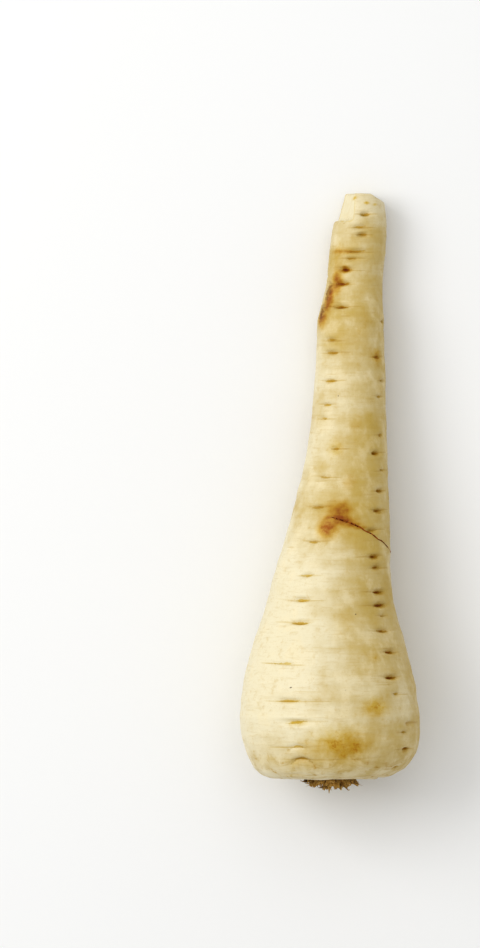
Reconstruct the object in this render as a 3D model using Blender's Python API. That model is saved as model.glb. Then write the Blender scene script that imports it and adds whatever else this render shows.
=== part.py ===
"""A parsnip lying on its side: one tapered root with its crown at -Y and its cut tip at +Y,
and the tuft of dried leaf bases that is left in the hollow of the crown."""

import bisect
import math
import random

import bmesh
import bpy
import numpy as np
from mathutils import Matrix, Vector, noise

MM = 0.001
SEED = 7

# The root, in millimetres. "Along" runs from the crown towards the tip.
# Angles go round the root in degrees: 0 is on top and 90 is towards +X.
BELLY_ALONG = 21.5
TIP_ALONG = 195.9
CROWN_ALONG = 0.8
CROWN_FLAT_SHARE = 0.55
SHOULDER_FULLNESS = 2.35
ROUNDNESS = 0.96
HALF_WIDTHS = (
    (BELLY_ALONG, 30.1), (34, 28.4), (46, 25.2), (56, 21.9), (66.5, 19.8), (83, 17.1),
    (103, 14.2), (123, 12.3), (143, 11.4), (154, 11.1), (165, 9.5), (178, 9.2), (187, 8.5), (194, 6.9),
)
SIDEWAYS = (
    (0, -0.6), (6, 0.5), (BELLY_ALONG, 0.0), (46, -0.2), (66.5, 0.6), (83, 3.0), (103, 5.2), (137, 7.0), (154, 7.4),
    (165, 8.4), (178, 9.6), (194, 11.6),
)
UNDERSIDE = (
    (0, 0.6), (BELLY_ALONG, -0.6), (34, 0.1), (46, 1.6), (66.5, 3.6), (96, 4.2), (123, 2.8), (150, 1.2),
    (168, -0.2), (182, -0.4), (194, 0.8),
)
LUMP_DEPTH = 0.45
LUMP_LENGTH = 24.0
WRINKLE_DEPTH = 0.24
WRINKLE_LENGTH = 4.2

# The hollow of the crown: a rounded lip, a steep wall and a nearly flat floor.
HOLLOW_SHARE = 0.365
HOLLOW_DEPTH = 5.6
LIP_HEIGHT = 0.05
LIP_WAVE = 0.3

# The tip was cut off square. A sliver is sliced away beside the cut, and one corner is broken off.
SLIVER_ALONG = 186.4
SLIVER_ANGLE = -68.0
SLIVER_REACH = 5.4
SLIVER_TILT = 12.0
CORNER_SIDEWAYS = 2.1
CORNER_ANGLE = 32.0
CUT_ROUNDING = 0.7
CUTTER_SIZE = 30.0

# Lateral-root scars stand in four rows: (along, angle, width, strength) for the two rows on the upper
# side. The two rows on the underside are opposite them, and follow a rule.
LEFT_SCARS = (
    (7.7, -22, 10, 0.6), (11.9, -24, 9, 0.4), (20, -22, 9, 1.0), (27.1, -28, 10, 0.7), (39.4, -34, 9, 0.4),
    (52.9, -26, 7, 0.9), (60.3, -27, 6, 0.8), (68.5, -26, 5, 0.6), (79.5, -28, 5, 0.5), (91, -31, 5, 0.6),
    (101, -27, 4, 0.4), (110.5, -17, 3, 0.5), (120.6, -43, 4, 0.5), (125.1, -38, 4, 0.6), (133.1, -35, 5, 0.8),
    (142.5, -34, 5, 0.7), (146.8, -38, 5, 0.6), (158, -23, 6, 0.9), (165.7, -27, 6, 0.9), (170.3, -23, 5, 1.0),
    (173.9, -12, 5, 0.5), (176.4, 0, 7, 0.6), (182, 6, 4, 0.8), (184.6, -2, 5, 0.6), (189, 8, 4, 1.0),
)
RIGHT_SCARS = (
    (4.3, 59, 5, 0.6), (10.6, 60, 5, 0.8), (16.4, 55, 3, 0.5), (19.2, 60, 4, 0.6), (29.2, 49, 3, 0.6),
    (34.7, 47, 6, 1.0), (43.2, 52, 6, 1.0), (50.2, 49, 7, 0.7), (58.5, 52, 7, 1.0), (62.8, 52, 6, 1.0),
    (71, 50, 5, 0.7), (74.5, 46, 5, 0.9), (83.3, 41, 5, 0.6), (89.8, 51, 5, 0.9), (96.5, 56, 4, 0.9),
    (103.3, 61, 3, 0.4), (109, 47, 4, 1.0), (114.9, 58, 2, 0.6), (127.8, 57, 3, 0.5), (133.1, 66, 3, 0.5),
    (141, 53, 4, 0.8), (153, 75, 3, 0.6),
)
HIDDEN_ROW_ANGLES = (151, 232)
HIDDEN_ROW_FIRST = 6.0
HIDDEN_ROW_GAP = 8.2
HIDDEN_ROW_WANDER = 7.0
GROOVE_HALF_HEIGHT = 1.1
GROOVE_DEPTH = 1.8

# The mesh of the root.
SEGMENTS = 44
RING_GAP = 1.75
SHOULDER_RINGS = 13
SHARP_ANGLE = math.radians(40)

# The dried leaf bases: short flattened stubs, on a corky pad, in a spiral.
PAD_RADIUS = 9.2
PAD_THICKNESS = 2.0
PAD_GAP = 0.4
PAD_SEGMENTS = 28
STUB_COUNT = 22
STUB_WIDTH = 2.0
STUB_THINNESS = 0.5
STUB_SIDES = 6
STUB_HEIGHTS = (7.2, 9.3)
GOLDEN_ANGLE = math.radians(137.5)

SKIN_COLOUR = (0.80, 0.68, 0.42, 1.0)
LEAF_BASE_COLOUR = (0.30, 0.18, 0.07, 1.0)


def curve_through(points):
    """A smooth curve through (along, value) points, as a function of the distance along."""
    places, values = zip(*points)
    slopes = np.gradient(values, places)

    def read(along):
        i = min(max(bisect.bisect_right(places, along) - 1, 0), len(places) - 2)
        gap = places[i + 1] - places[i]
        t = min(max((along - places[i]) / gap, 0.0), 1.0)
        start = values[i] * (1 + 2 * t) + slopes[i] * gap * t
        end = values[i + 1] * (3 - 2 * t) - slopes[i + 1] * gap * (1 - t)
        return start * (1 - t) ** 2 + end * t * t

    return read


half_width_at = curve_through(HALF_WIDTHS)
sideways_at = curve_through(SIDEWAYS)
underside_at = curve_through(UNDERSIDE)


def section(along, share, angle):
    """A point of the root's plain surface, in millimetres, at a share of the full section."""
    half_width = half_width_at(max(along, BELLY_ALONG))
    half_height = half_width * ROUNDNESS
    middle = underside_at(max(along, BELLY_ALONG)) + half_height
    turn = math.radians(angle)
    return Vector((
        sideways_at(along) + share * half_width * math.sin(turn),
        along,
        middle + share * half_height * math.cos(turn),
    ))


def hollow_rings():
    """(along, share) of the crown's hollow and lip, from the middle of the floor outwards."""
    floor = [(HOLLOW_DEPTH, 0.0), (HOLLOW_DEPTH, 0.16), (HOLLOW_DEPTH - 0.2, 0.27)]
    wall = [(HOLLOW_DEPTH - 1.2, 0.325), (HOLLOW_DEPTH * 0.5, HOLLOW_SHARE - 0.015), (1.5, HOLLOW_SHARE)]
    lip_along = CROWN_ALONG - LIP_HEIGHT
    lip = [(CROWN_ALONG, HOLLOW_SHARE + 0.03), (lip_along, HOLLOW_SHARE + 0.09), (lip_along, 0.52)]
    return floor + wall + lip


def shoulder_rings():
    """(along, share) of the round shoulder, from the flat of the crown to the belly."""
    rings = []
    for i in range(SHOULDER_RINGS):
        turn = 0.5 * math.pi * i / SHOULDER_RINGS
        along = BELLY_ALONG - (BELLY_ALONG - CROWN_ALONG) * math.cos(turn) ** (2 / SHOULDER_FULLNESS)
        grown = math.sin(turn) ** (2 / SHOULDER_FULLNESS)
        rings.append((along, CROWN_FLAT_SHARE + (1 - CROWN_FLAT_SHARE) * grown))
    return rings


def body_rings():
    """(along, share) from the belly to the start of the cut tip."""
    length = TIP_ALONG - CUT_ROUNDING - BELLY_ALONG
    count = round(length / RING_GAP)
    return [(BELLY_ALONG + length * i / count, 1.0) for i in range(count + 1)]


def tip_rings():
    """(along, share) of the cut end, from its rounded edge to its middle."""
    return [(TIP_ALONG, 0.9), (TIP_ALONG - 0.3, 0.5), (TIP_ALONG, 0.0)]


def scars():
    """(along, angle, width, strength) of every lateral-root scar, in four rows round the root."""
    draw = random.Random(SEED)
    found = [*LEFT_SCARS, *RIGHT_SCARS]
    for row_angle in HIDDEN_ROW_ANGLES:
        along = HIDDEN_ROW_FIRST
        while along < TIP_ALONG - HIDDEN_ROW_FIRST:
            angle = row_angle + draw.uniform(-HIDDEN_ROW_WANDER, HIDDEN_ROW_WANDER)
            found.append((along, angle, draw.uniform(4, 9), draw.uniform(0.3, 1.0)))
            along += HIDDEN_ROW_GAP * draw.uniform(0.6, 1.4)
    return found


def relief(along, angle, scar_list):
    """How far the skin stands out of the plain surface, in millimetres: lumps, wrinkles and scars."""
    turn = math.radians(angle)
    around = half_width_at(max(along, BELLY_ALONG))
    place = Vector((math.sin(turn) * around, along, math.cos(turn) * around))
    height = LUMP_DEPTH * noise.noise(place / LUMP_LENGTH)
    height += WRINKLE_DEPTH * noise.noise(Vector((place.x / 30, along / WRINKLE_LENGTH, place.z / 30)))
    for scar_along, scar_angle, width, strength in scar_list:
        rise = (along - scar_along) / GROOVE_HALF_HEIGHT
        if abs(rise) > 4:
            continue
        off = (angle - scar_angle + 180) % 360 - 180
        across = math.radians(off) * around / (0.5 * width)
        lips = 1 - 0.8 * rise * rise
        height -= GROOVE_DEPTH * strength * lips * math.exp(-rise * rise - across * across)
    return height


def middle_at(along):
    """The middle of the root's section, in millimetres."""
    return section(along, 0.0, 0.0)


def root_mesh():
    """The root as one closed loft, with its relief and its flat resting spots."""
    profile = hollow_rings() + shoulder_rings() + body_rings() + tip_rings()
    ring_places = [along for along, share in profile if share >= CROWN_FLAT_SHARE]
    step = 360.0 / SEGMENTS
    snapped = []
    for along, angle, width, strength in scars():
        nearest = min(ring_places, key=lambda place: abs(place - along))
        snapped.append((nearest, step * round(angle / step), width, strength))
    shape = bmesh.new()
    rings = []
    for along, share in profile:
        angles = [0.0] if share == 0 else [360.0 * i / SEGMENTS for i in range(SEGMENTS)]
        rings.append([(shape.verts.new(section(along, share, angle)), along, share, angle) for angle in angles])
    for ring, following in zip(rings, rings[1:]):
        for i in range(SEGMENTS):
            corners = [
                ring[i % len(ring)][0], ring[(i + 1) % len(ring)][0],
                following[(i + 1) % len(following)][0], following[i % len(following)][0],
            ]
            shape.faces.new(dict.fromkeys(corners))
    bmesh.ops.recalc_face_normals(shape, faces=shape.faces)
    shape.normal_update()
    for ring in rings:
        for vertex, along, share, angle in ring:
            if share >= CROWN_FLAT_SHARE:
                vertex.co += vertex.normal * relief(along, angle, snapped)
            elif HOLLOW_SHARE < share < CROWN_FLAT_SHARE and along < BELLY_ALONG:
                vertex.co.y += LIP_WAVE * math.cos(2 * math.radians(angle))
            vertex.co.z = max(vertex.co.z, 0.0)
    return shape


def new_collection(name, helpers=False):
    """A collection in the scene. One for helpers stays out of the render."""
    made = bpy.data.collections.new(name)
    made.hide_render = helpers
    bpy.context.scene.collection.children.link(made)
    return made


def to_object(name, shape, colour, collection):
    """A named object, in metres, from a bmesh in millimetres, with its own plain material."""
    shape.transform(Matrix.Scale(MM, 4))
    mesh = bpy.data.meshes.new(name)
    shape.to_mesh(mesh)
    shape.free()
    made = bpy.data.objects.new(name, mesh)
    made.hide_render = collection.hide_render
    made.display_type = "WIRE" if collection.hide_render else "TEXTURED"
    collection.objects.link(made)
    material = bpy.data.materials.new(name)
    material.use_nodes = True
    shader = material.node_tree.nodes["Principled BSDF"]
    shader.inputs["Base Color"].default_value = colour
    shader.inputs["Roughness"].default_value = 0.55
    shader.inputs["Metallic"].default_value = 0.0
    mesh.materials.append(material)
    return made


def block_mesh(place):
    """A cutting block that stands on its local origin, reaching up and forwards, moved by a matrix."""
    shape = bmesh.new()
    bmesh.ops.create_cube(shape, size=CUTTER_SIZE)
    shape.transform(place @ Matrix.Translation((0, CUTTER_SIZE / 2, CUTTER_SIZE / 2)))
    return shape


def sliver_place():
    """Where the block that slices the sliver off stands: on the slice, facing out of the root."""
    turned = Matrix.Rotation(math.radians(SLIVER_ANGLE), 4, "Y")
    tilted = Matrix.Rotation(-math.radians(SLIVER_TILT), 4, "X")
    out = Matrix.Translation((0, 0, SLIVER_REACH))
    return Matrix.Translation(middle_at(SLIVER_ALONG)) @ turned @ out @ tilted


def corner_place():
    """Where the block that breaks the corner off stands: beside the middle of the cut end."""
    beside = middle_at(TIP_ALONG) + Vector((CORNER_SIDEWAYS, 0, 0))
    turned = Matrix.Rotation(-math.radians(CORNER_ANGLE), 4, "Z")
    return Matrix.Translation(beside) @ turned @ Matrix.Translation((0, 0, -CUTTER_SIZE / 2))


def pad_mesh():
    """The corky pad: a low dome that stands just clear of the hollow's floor."""
    shape = bmesh.new()
    bmesh.ops.create_cone(
        shape, cap_ends=True, segments=PAD_SEGMENTS, radius1=PAD_RADIUS * 0.8, radius2=PAD_RADIUS, depth=PAD_THICKNESS
    )
    facing_out = Matrix.Rotation(math.radians(90), 4, "X")
    place = middle_at(HOLLOW_DEPTH) - Vector((0, PAD_GAP + PAD_THICKNESS / 2, 0))
    shape.transform(Matrix.Translation(place) @ facing_out)
    return shape


def stub_mesh(number, draw):
    """One leaf base: a flattened cone that leans outwards, with its root sunk in the pad."""
    turn = number * GOLDEN_ANGLE
    share = math.sqrt((number + 0.5) / STUB_COUNT)
    height = draw.uniform(*STUB_HEIGHTS) * (1.0 - 0.2 * share)
    shape = bmesh.new()
    bmesh.ops.create_cone(
        shape, cap_ends=True, segments=STUB_SIDES, radius1=STUB_WIDTH,
        radius2=STUB_WIDTH * draw.uniform(0.35, 0.6), depth=height,
    )
    flat = Matrix.Diagonal((STUB_THINNESS, 1.0, 1.0, 1.0))
    lean = Matrix.Rotation(math.radians(10 + 34 * share), 4, "Y")
    out = Matrix.Translation(((PAD_RADIUS - 2.0) * share, 0, height / 2 + 0.6))
    around = Matrix.Rotation(turn, 4, "Z")
    facing_out = Matrix.Rotation(math.radians(90), 4, "X")
    place = Matrix.Translation(middle_at(HOLLOW_DEPTH) - Vector((0, PAD_GAP, 0)))
    shape.transform(place @ facing_out @ around @ out @ lean @ flat)
    return shape


def combine(target, operation, helpers):
    """Joins or cuts target with every object of a collection, in one Boolean, then removes them."""
    boolean = target.modifiers.new(operation.lower(), "BOOLEAN")
    boolean.operation = operation
    boolean.operand_type = "COLLECTION"
    boolean.collection = helpers
    boolean.solver = "EXACT"
    graph = bpy.context.evaluated_depsgraph_get()
    made = bpy.data.meshes.new_from_object(target.evaluated_get(graph))
    target.modifiers.remove(boolean)
    target.data = made
    for helper in list(helpers.objects):
        bpy.data.objects.remove(helper)
    bpy.data.collections.remove(helpers)


def stand_at_origin(parts):
    """Moves the parts together so that the middle of their box's underside is the origin."""
    points = [vertex.co for part in parts for vertex in part.data.vertices]
    low = Vector(map(min, zip(*points)))
    high = Vector(map(max, zip(*points)))
    shift = Matrix.Translation(-Vector(((low.x + high.x) / 2, (low.y + high.y) / 2, low.z)))
    for part in parts:
        part.data.transform(shift)


def main():
    for old in list(bpy.data.objects):
        bpy.data.objects.remove(old)
    parsnip = new_collection("parsnip")

    root = to_object("parsnip_root", root_mesh(), SKIN_COLOUR, parsnip)
    tip_cutters = new_collection("tip_cutters", helpers=True)
    to_object("sliver", block_mesh(sliver_place()), SKIN_COLOUR, tip_cutters)
    to_object("corner", block_mesh(corner_place()), SKIN_COLOUR, tip_cutters)
    combine(root, "DIFFERENCE", tip_cutters)

    tuft = to_object("leaf_bases", pad_mesh(), LEAF_BASE_COLOUR, parsnip)
    stubs = new_collection("stubs", helpers=True)
    draw = random.Random(SEED)
    for number in range(STUB_COUNT):
        to_object(f"stub_{number}", stub_mesh(number, draw), LEAF_BASE_COLOUR, stubs)
    combine(tuft, "UNION", stubs)

    for part in (root, tuft):
        part.data.shade_smooth()
        part.data.set_sharp_from_angle(angle=SHARP_ANGLE)
    stand_at_origin((root, tuft))


main()
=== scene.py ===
"""The looks of a parsnip lying on its side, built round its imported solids.

It is laid out as an add-on and run as a script: each piece has an operator, and its sizes and colours
are properties of the scene.
"""

import bisect
import random
from math import cos, pi, radians, sin, sqrt

import bmesh
import bpy
import numpy as np
from mathutils import Matrix, Vector, noise


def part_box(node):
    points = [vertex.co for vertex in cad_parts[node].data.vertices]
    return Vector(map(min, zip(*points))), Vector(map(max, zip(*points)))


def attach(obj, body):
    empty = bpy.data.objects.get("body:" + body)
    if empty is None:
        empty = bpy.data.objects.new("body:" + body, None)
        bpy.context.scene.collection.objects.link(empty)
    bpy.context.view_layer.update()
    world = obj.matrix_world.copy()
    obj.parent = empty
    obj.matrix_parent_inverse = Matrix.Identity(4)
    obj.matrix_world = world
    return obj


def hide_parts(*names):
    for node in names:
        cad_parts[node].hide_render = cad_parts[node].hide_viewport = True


bl_info = {
    "name": "Parsnip",
    "version": (1, 0, 0),
    "blender": (4, 5, 0),
    "location": "3D View > Sidebar > Parsnip",
    "description": "Builds a parsnip with a scarred skin and a tuft of dried leaf bases",
    "category": "Add Mesh",
}

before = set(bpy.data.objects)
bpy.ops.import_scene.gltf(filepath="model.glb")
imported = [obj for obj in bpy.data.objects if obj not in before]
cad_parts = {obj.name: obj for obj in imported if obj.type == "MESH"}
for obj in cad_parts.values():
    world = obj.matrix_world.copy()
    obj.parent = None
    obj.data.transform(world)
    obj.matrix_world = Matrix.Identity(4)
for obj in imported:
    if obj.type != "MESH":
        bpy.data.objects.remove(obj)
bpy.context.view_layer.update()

MM = 0.001
SEED = 7

# The root's plain form, in millimetres, as in its solid. "Along" runs from the crown towards the tip.
# Angles go round the root in degrees: 0 is on top and 90 is towards +X.
BELLY_ALONG = 21.5
TIP_ALONG = 195.9
CROWN_ALONG = 0.8
FACE_SHARE = 0.55
SHOULDER_FULLNESS = 2.35
ROUNDNESS = 0.96
HALF_WIDTHS = (
    (BELLY_ALONG, 30.1), (34, 28.4), (46, 25.2), (56, 21.9), (66.5, 19.8), (83, 17.1), (103, 14.2),
    (123, 12.3), (143, 11.4), (154, 11.1), (165, 9.5), (178, 9.2), (187, 8.5), (194, 6.9),
)
SIDEWAYS = (
    (0, -0.6), (6, 0.5), (BELLY_ALONG, 0), (46, -0.2), (66.5, 0.6), (83, 3), (103, 5.2), (137, 7),
    (154, 7.4), (165, 8.4), (178, 9.6), (194, 11.6),
)
UNDERSIDE = (
    (0, 0.6), (BELLY_ALONG, -0.6), (34, 0.1), (46, 1.6), (66.5, 3.6), (96, 4.2), (123, 2.8), (150, 1.2),
    (168, -0.2), (182, -0.4), (194, 0.8),
)
HOLLOW_SHARE = 0.365
HOLLOW_DEPTH = 5.6
LIP_SHARE = 0.52
LIP_HEIGHT = 0.05
LIP_WAVE = 0.3
LUMP_LENGTH = 24
WRINKLE_LENGTH = 4.2
WRINKLE_STRETCH = (1 / 30, 1 / WRINKLE_LENGTH, 1 / 30)
RIPPLE_STRETCH = (1 / 9, 1 / 1.3, 1 / 9)
RIPPLE_DEPTH = 0.055
CUT_ROUNDING = 0.7
CUT_SHARE = 0.86
CUT_EDGE_SHARE = 0.93
CUT_ROUGHNESS = 0.22
SHOULDER_STEPS = 13

# The finer forms of the crown: where each band lies, as shares of the radius, and how deep it is.
LIP_SHARES = (HOLLOW_SHARE, HOLLOW_SHARE + 0.03, LIP_SHARE, FACE_SHARE)
LIP_LOBES = 0.22
WALL_SHARES = (0.1, 0.3, HOLLOW_SHARE, HOLLOW_SHARE + 0.05)
HOLLOW_ROUGHNESS = 0.28
CORK_SHARES = (0.27, 0.34, HOLLOW_SHARE, HOLLOW_SHARE + 0.06)
FACE_SHARES = (0.4, 0.48, 0.85, 0.98)
FACE_WAVES = 0.2
FACE_RINGS = 0.12
RING_GAP = 1.6
RING_WANDER = 2.5
# How far a rough surface is set back, so that it stays inside its solid.
SETBACK = 0.12

# The sliver sliced off the tip and its broken corner.
SLIVER_ALONG = 186.4
SLIVER_ANGLE = -68
SLIVER_REACH = 5.4
SLIVER_TILT = 12
SLIVER_ROUGHNESS = 0.1
CORNER_SIDEWAYS = 2.1
CORNER_ANGLE = 32
CORNER_LENGTH = 9
CORNER_ROUGHNESS = 0.35
CUT_LEDGE = 1.3

# Lateral-root scars: (along, angle, width, strength).
LEFT_SCARS = (
    (7.7, -22, 10, 0.6), (11.9, -24, 9, 0.4), (20, -22, 9, 1), (27.1, -28, 10, 0.7), (39.4, -34, 9, 0.4),
    (52.9, -26, 7, 0.9), (60.3, -27, 6, 0.8), (68.5, -26, 5, 0.6), (79.5, -28, 5, 0.5), (91, -31, 5, 0.6),
    (101, -27, 4, 0.4), (110.5, -17, 3, 0.5), (120.6, -43, 4, 0.5), (125.1, -38, 4, 0.6),
    (133.1, -35, 5, 0.8), (142.5, -34, 5, 0.7), (146.8, -38, 5, 0.6), (158, -23, 6, 0.9),
    (165.7, -27, 6, 0.9), (170.3, -23, 5, 1), (173.9, -12, 5, 0.5), (176.4, 0, 7, 0.6), (182, 6, 4, 0.8),
    (184.6, -2, 5, 0.6), (189, 8, 4, 1),
)
RIGHT_SCARS = (
    (4.3, 59, 5, 0.6), (10.6, 60, 5, 0.8), (16.4, 55, 3, 0.5), (19.2, 60, 4, 0.6), (29.2, 49, 3, 0.6),
    (34.7, 47, 6, 1), (43.2, 52, 6, 1), (50.2, 49, 7, 0.7), (55.1, 53, 3, 0.45), (58.5, 52, 7, 1),
    (62.8, 52, 6, 1), (71, 50, 5, 0.7), (74.5, 46, 5, 0.9), (83.3, 41, 5, 0.6), (89.8, 51, 5, 0.9),
    (96.5, 56, 4, 0.9), (103.3, 61, 3, 0.4), (109, 47, 4, 1), (114.9, 58, 2, 0.6), (127.8, 57, 3, 0.5),
    (133.1, 66, 3, 0.5), (141, 53, 4, 0.55), (153, 75, 3, 0.6),
)
# The two rows of scars underneath.
ROW_ANGLES = (151, 232)
ROW_START = 6
ROW_GAP = 8.2
ROW_WANDER = 7
# How far a scar's parts and a crease reach along the root.
GROOVE_REACH = 1.1
SLIT_REACH = 0.4
CORE_REACH = 0.36
HALO_REACH = 1
CREASE_REACH = 0.3
CREASE_COUNT = 330
# The left row's scars arch on the shoulder: by this much for each millimetre across, squared.
SHOULDER_BOW = 0.075
SHOULDER_BOW_END = 16
# How dark the scars of the left row and of the others are, by the distance along the root.
LEFT_ROW_SHADES = ((0, 0.5), (138, 0.5), (158, 0.8), (170, 0.95), (178, 0.45), (190, 0.35))
OTHER_ROW_SHADES = ((0, 1), (75, 1), (95, 0.75), (141, 0.3), (160, 0.6))

# Marks on the skin: (along, angle, half length along the root, half width round it, strength), in mm.
MARKS = {
    "stain": (
        (12.6, 1, 3.4, 4.4, 1), (9.4, 7, 2.6, 3.4, 0.8), (11.6, 15, 3.4, 4, 1), (12.5, 7, 7, 12, 0.75),
        (25.2, 31, 3.4, 5.4, 0.85), (41.4, 34, 1.8, 2.6, 0.7), (13.8, -12, 1.2, 1.8, 0.4),
        (52, 12, 6, 6, 0.3), (86.5, -5, 6.5, 6.5, 0.6), (119, 10, 4, 3, 0.35), (141, 51, 3.2, 3, 0.9),
        (110.5, -16, 3.6, 3.2, 0.6), (131, 60, 4, 3, 0.4), (194.5, -33, 0.7, 1.7, 1),
        (192.7, 8, 0.45, 1, 1), (192.2, 32, 0.5, 0.9, 0.8), (150, 20, 5, 4, 0.4), (176, -45, 4, 3, 0.5),
        (60, 214, 6, 7, 0.7), (22, 178, 5, 9, 0.6), (97, 168, 6, 6, 0.6), (140, 205, 7, 4, 0.7),
        (34, 262, 5, 6, 0.5), (170, 120, 5, 4, 0.6), (78, 110, 4, 6, 0.5),
    ),
    "rust": (
        (87.4, -4, 1.5, 4.6, 1), (86.4, 5, 1.5, 4.4, 0.95), (85.3, 15, 1.1, 3.4, 0.8),
        (84.2, 24, 0.8, 3, 0.6), (89.8, -1, 3.4, 4.2, 0.75), (86.6, -9, 2.8, 3.2, 0.75),
        (84.2, -14, 3.6, 3.4, 1), (91.5, -7, 2.4, 3, 0.45), (82.3, -6, 2.2, 2.4, 0.4),
        (142.3, 49, 0.9, 0.8, 0.3), (99, 6, 3, 2.6, 0.3), (170.4, -24, 1.4, 1.8, 0.8),
        (176.4, -34, 0.9, 5, 0.6), (166, -40, 5, 2.4, 0.9), (161, -52, 5.5, 2.6, 0.95),
        (154, -62, 3.5, 3, 0.85), (46, 140, 4, 3, 0.6), (120, 250, 5, 3, 0.7),
    ),
    "soil": (
        (163, -60, 5, 2.8, 0.95), (156, -68, 4.5, 3.4, 0.95), (150, 190, 8, 5, 0.5), (8, 200, 4, 10, 0.4),
    ),
    "speck": (
        (30.7, 9.5, 0.45, 0.45, 1), (31.4, -27, 0.4, 0.4, 1), (55.5, 22, 0.35, 0.35, 1),
        (47, 160, 0.5, 0.5, 1), (96, 210, 0.5, 0.5, 1), (128, -18, 0.3, 0.3, 1),
    ),
}
# How ochre the skin is by the distance along the root: its own ochre, with painted shade added at the crown's
# edge.
OCHRE_AND_SHADE_ALONG = (
    (0, 0.5), (2.5, 0.65), (5, 0.85), (9, 0.7), (18, 0.25), (40, 0.1), (50, 0.2), (60, 0.4), (75, 0.45),
    (90, 0.8), (112, 0.62), (128, 0.4), (140, 0.55), (165, 0.68), (184, 0.55), (188, 0.4),
    (TIP_ALONG, 0.3),
)
# Painted light and shade: how much more ochre the skin is on the side towards +X, away from the key light,
# and how much paler on the side towards it.
SIDE_LIGHT_AND_SHADE = (
    (0, 0.25), (14, 0.42), (30, 0.62), (58, 0.8), (75, 0.6), (90, 0.45), (140, 0.3), (165, 0),
)
# The most ochre that the painted side shade may bring.
MOST_OCHRE_WITH_SHADE = 0.8
# The dried rootlet on the skin: (along, angle, radius).
ROOTLET = (
    (87.8, -11, 0.08), (87.4, -6, 0.18), (87, -1, 0.22), (86.3, 5, 0.25), (86, 9, 0.19), (85.4, 14, 0.26),
    (84.6, 20, 0.2), (84.2, 24, 0.24), (83.2, 31, 0.17), (82.7, 35, 0.23), (81.7, 41, 0.16),
    (81.2, 45, 0.22), (80.3, 50, 0.13), (79.7, 55, 0.2), (78.8, 61, 0.11), (77.6, 69, 0.16),
    (76, 84, 0.12), (74.6, 100, 0.05),
)
ROOTLET_LIFT = 0.08
ROOTLET_SWELLING = 1.15

# The tuft: the same pad and stubs as in its solid.
PAD_RADIUS = 9.2
PAD_THICKNESS = 2
PAD_GAP = 0.4
PAD_RINGS = 26
PAD_SIDES = 96
PAD_ROUGHNESS = 0.35
STUB_COUNT = 22
STUB_WIDTH = 2
STUB_THINNESS = 0.5
STUB_HEIGHTS = (7.2, 9.3)
STUB_INSET = 2
STUB_LIFT = 0.6
GOLDEN_ANGLE = radians(137.5)
SHEATH_COLUMNS = 32
SHEATH_ROWS = 14
# How many of the sheaths' torn ends have a fibre on them, and the corners of a strand's section.
FRAYED_SHARE = 0.45
STRAND_SIDES = 6
# Torn strips that stick out: points (x, y, z) in the tuft's own space, in millimetres.
TATTERS = (
    ((2.6, 2.6, 5), (3.8, 2.9, 6.6), (5, 3, 7.7), (5.7, 2.9, 8.4), (6.3, 2.7, 8.3)),
    ((4.6, 1.6, 4.6), (6.2, 1.9, 5.7), (7.6, 2, 6.3), (8.6, 1.9, 7), (9.2, 1.8, 7.1)),
    ((5.4, 3.4, 4.2), (6.6, 3.9, 5.1), (7.7, 4.1, 5.6), (8.7, 4, 5.8), (9.1, 3.8, 5.6)),
    ((-3.2, 3, 4.8), (-4.8, 3.4, 5.9), (-6.4, 3.4, 6.3), (-8, 3.1, 6.2), (-9, 2.8, 6)),
    ((-5, 2.4, 4.6), (-6.6, 2.6, 5.4), (-8.2, 2.5, 5.7), (-9.6, 2.2, 5.5), (-10.4, 1.9, 5.2)),
    ((-1.2, 3.6, 5.2), (-1.9, 4, 6.4), (-2.9, 4.1, 7.3), (-3.8, 4, 7.6), (-4.4, 3.7, 7.5)),
    ((0.4, -4.2, 5), (0.9, -5.6, 6.2), (1.1, -6.9, 6.9), (1.4, -8, 7), (1.6, -8.7, 6.8)),
    ((3, -3.2, 5.2), (4.4, -4.4, 6.4), (5.4, -5.6, 7), (6.2, -6.6, 7.3), (6.6, -7, 7.1)),
    ((-3.6, -3, 5.2), (-5, -3.9, 6.4), (-6, -4.7, 7.2), (-6.8, -5.6, 7.4), (-7.2, -6.1, 7.2)),
)
TATTER_RADIUS = 0.42

# A fringe of strands along the tuft's upper side, longest in its middle.
FRINGE_COUNT = 38
FRINGE_MIDDLE = -1.2
FRINGE_HALF_WIDTH = 8
FRINGE_FOOT = 3.6
FRINGE_HEIGHT = 5.9
FRINGE_BULGE = 2.5

# The fine mesh of the root.
SEGMENTS = 176
BODY_RINGS = 420
SHOULDER_PARTS = 5
TIP_RINGS = 16

# The photograph's frame. Its height is in pixels, the sensor's in millimetres and the rest in metres.
IMAGE_HEIGHT = 948
MM_PER_PIXEL = 0.334
VIEW_MIDDLE = (-0.0299, 0.0058)
OUTLINE_HEIGHT = 0.02
SENSOR_HEIGHT = 24

# The stage, in metres. The top light's power is a share of the key light's.
FLOOR_HALF_SIZE = 3
FLOOR_CLOUD = (0.82, 0.83, 0.84)
WARM_WHITE = (1, 0.99, 0.97)
KEY_PLACE = (-0.9, 0.35, 1)
KEY_SIZE = 0.8
TOP_PLACE = (-0.1, 0.6, 1.6)
TOP_SIZE = 1.4
TOP_SHARE = 0.6


def tone(*parts):
    """A shader's linear colour, from screen values of 0 to 255."""
    return tuple(
        part / 255 / 12.92 if part <= 10 else ((part / 255 + 0.055) / 1.055) ** 2.4 for part in parts
    )


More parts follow.
